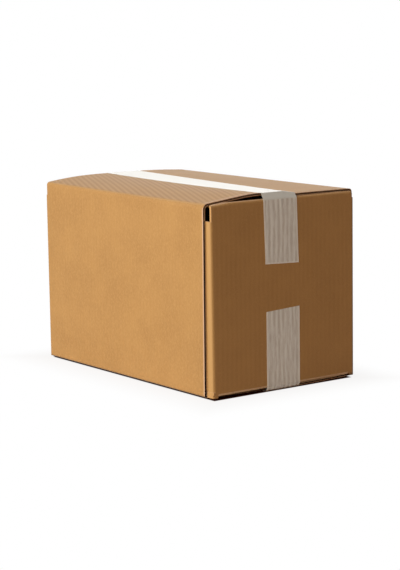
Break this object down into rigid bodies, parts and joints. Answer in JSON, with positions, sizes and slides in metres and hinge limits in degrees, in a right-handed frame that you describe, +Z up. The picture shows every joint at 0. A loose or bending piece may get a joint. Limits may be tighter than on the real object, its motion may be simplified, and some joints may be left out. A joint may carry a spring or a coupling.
{
  "type": "taped parcel",
  "caption": "Closed corrugated cardboard carton with bowed top flaps, sealed with clear packing tape along its top and bottom seams, for posting and storing goods.",
  "frame": {"origin": "on the floor under the middle of the parcel's base", "axes": "+X along the length towards the pictured taped end, +Y across the width away from the glued side panel, +Z up"},
  "size_m": [0.3406, 0.21, 0.2272],
  "materials": {
    "kraft_board": "matt brown kraft liner",
    "packing_tape": "glossy clear film with a milky haze"
  },
  "bodies": {
    "root": {"carton": "kraft_board", "top_tape": "packing_tape", "bottom_tape": "packing_tape"}
  },
  "joints": []
}
